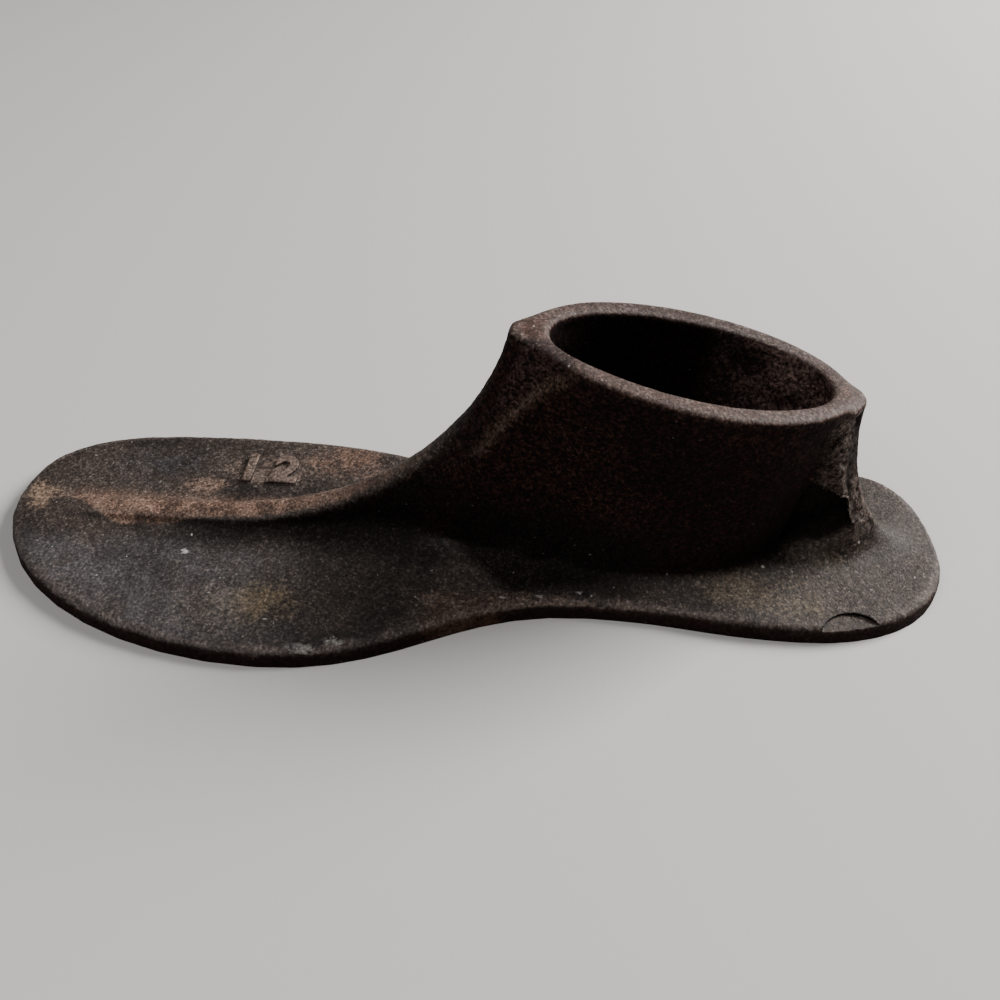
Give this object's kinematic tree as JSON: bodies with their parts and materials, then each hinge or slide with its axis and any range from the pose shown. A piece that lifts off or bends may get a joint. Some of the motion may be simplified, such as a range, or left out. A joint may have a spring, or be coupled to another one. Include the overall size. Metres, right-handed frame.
{
  "type": "cobbler's last",
  "caption": "Cast-iron cobbler's last: a flat foot-shaped anvil plate with a tapered oval socket and stiffening ribs, which stands upside down on a post for shoe repair.",
  "frame": {"origin": "middle of the sole plate's length and width, on the flat working face", "axes": "+X from the toe to the heel, +Y to the inner side of the foot, +Z from the working face towards the socket's mouth"},
  "size_m": [0.232, 0.0736, 0.0625],
  "materials": {
    "cast_iron": "matte"
  },
  "bodies": {
    "root": {"sole_plate": "cast_iron", "socket_wall": "cast_iron", "instep_rib": "cast_iron", "heel_rib": "cast_iron"}
  },
  "joints": []
}
